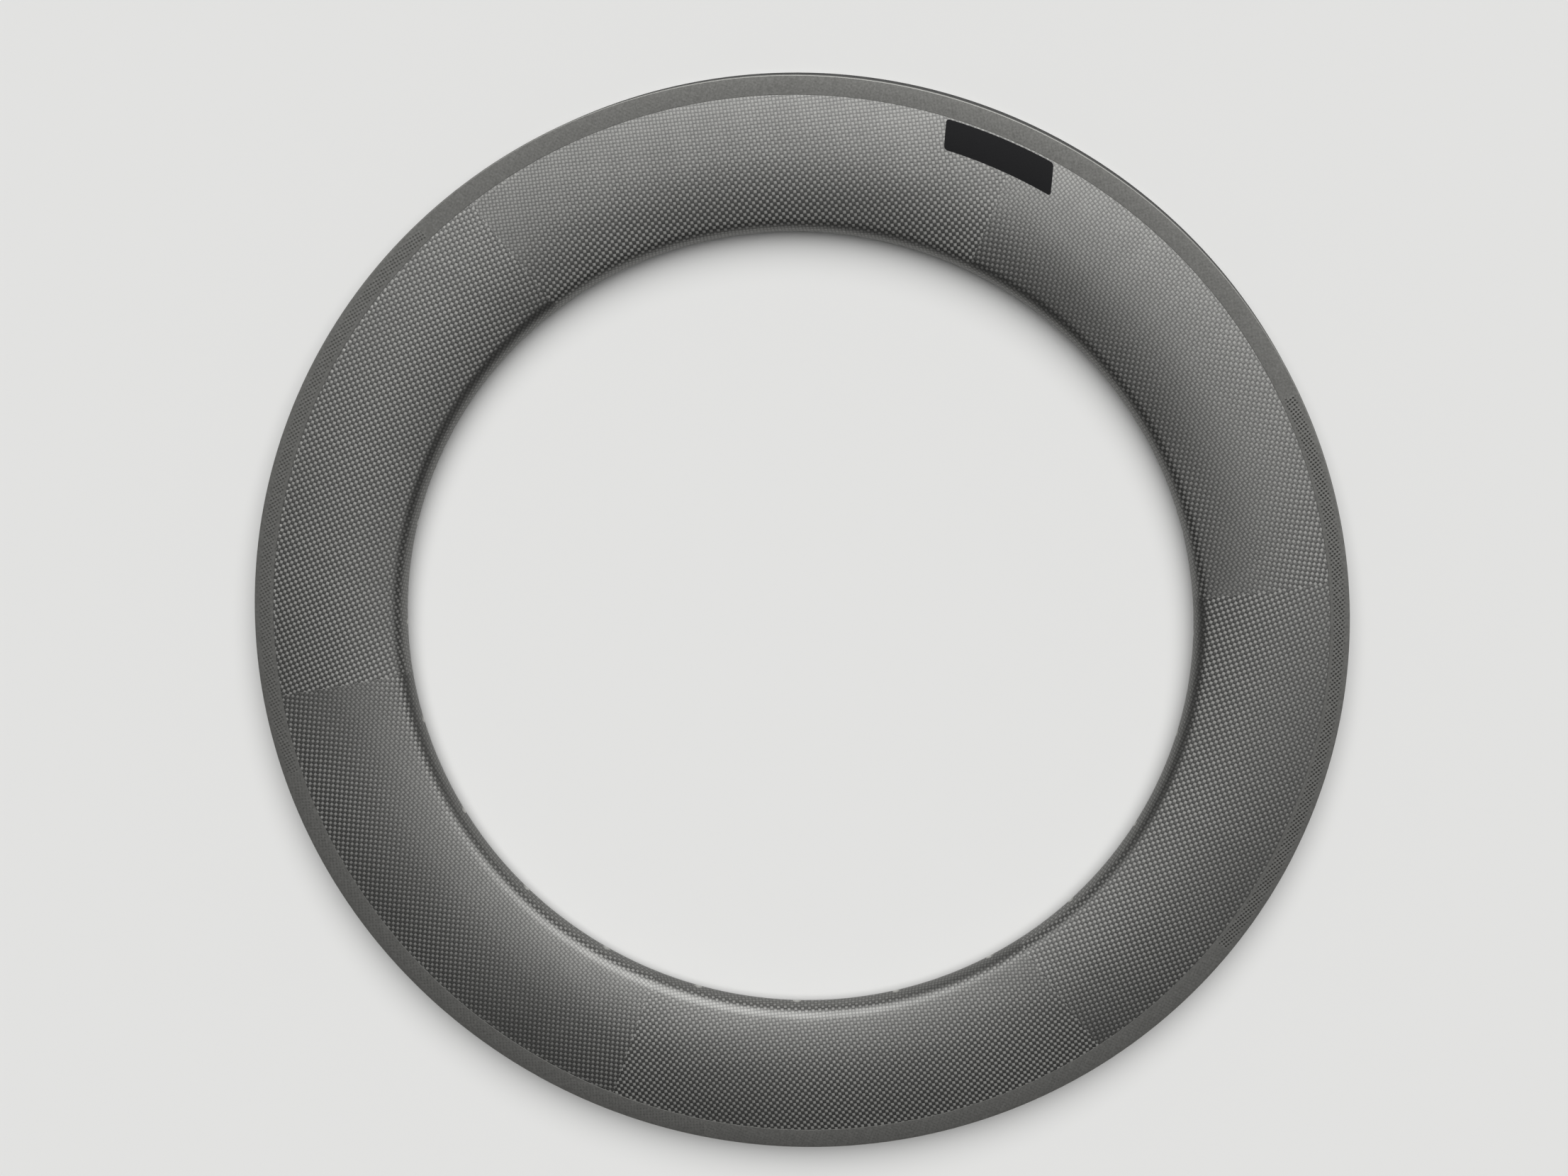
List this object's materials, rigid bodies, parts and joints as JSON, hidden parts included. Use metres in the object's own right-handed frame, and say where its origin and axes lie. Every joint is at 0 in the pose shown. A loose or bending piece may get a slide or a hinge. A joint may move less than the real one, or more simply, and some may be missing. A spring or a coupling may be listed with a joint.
{
  "type": "bicycle rim",
  "caption": "Deep-section moulded carbon-fibre bicycle rim with flat brake tracks, hooked tyre channel, radial spoke holes and valve hole, lying flat.",
  "frame": {"origin": "centre of the wheel, in the middle plane of the rim", "axes": "+Z along the wheel's axis, out of the face with the label; +X through a spoke hole; the valve hole is 67.5 degrees from +X towards +Y"},
  "size_m": [0.633, 0.633, 0.026],
  "materials": {
    "carbon": "matte lacquered carbon-fibre laminate in plain weave",
    "label_film": "smooth black film"
  },
  "bodies": {
    "root": {"rim": "carbon", "label": "label_film"}
  },
  "joints": []
}
